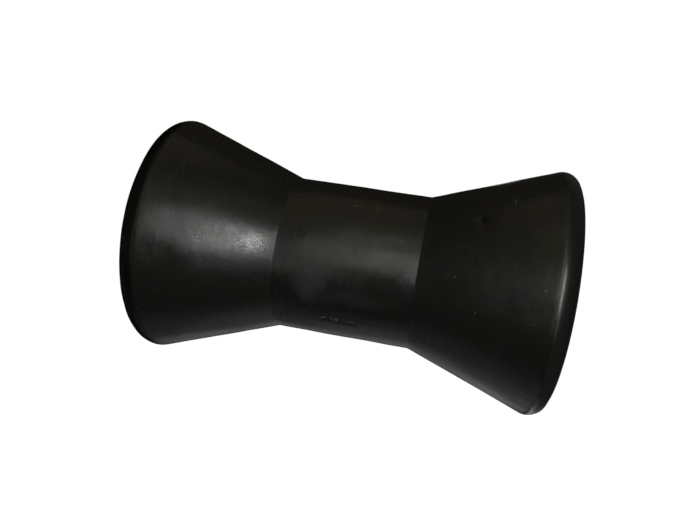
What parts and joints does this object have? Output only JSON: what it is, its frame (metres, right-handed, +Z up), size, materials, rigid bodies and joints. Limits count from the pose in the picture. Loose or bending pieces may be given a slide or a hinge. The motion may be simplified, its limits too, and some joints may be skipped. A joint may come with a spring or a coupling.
{
  "type": "boat trailer keel roller",
  "caption": "Black rubber keel roller for a boat trailer: a spool with conical ends, rounded rims, a straight waist for the keel and a plain bore for the spindle.",
  "frame": {"origin": "centre of the lower end face, on the roller's axis", "axes": "+Z up along the roller's axis; XZ is the mould's parting plane, with the gate on the -X side"},
  "size_m": [0.1194, 0.119, 0.2],
  "materials": {
    "rubber": "moulded black rubber, dull satin, with faint handling marks"
  },
  "bodies": {
    "root": {"roller": "rubber"}
  },
  "joints": []
}
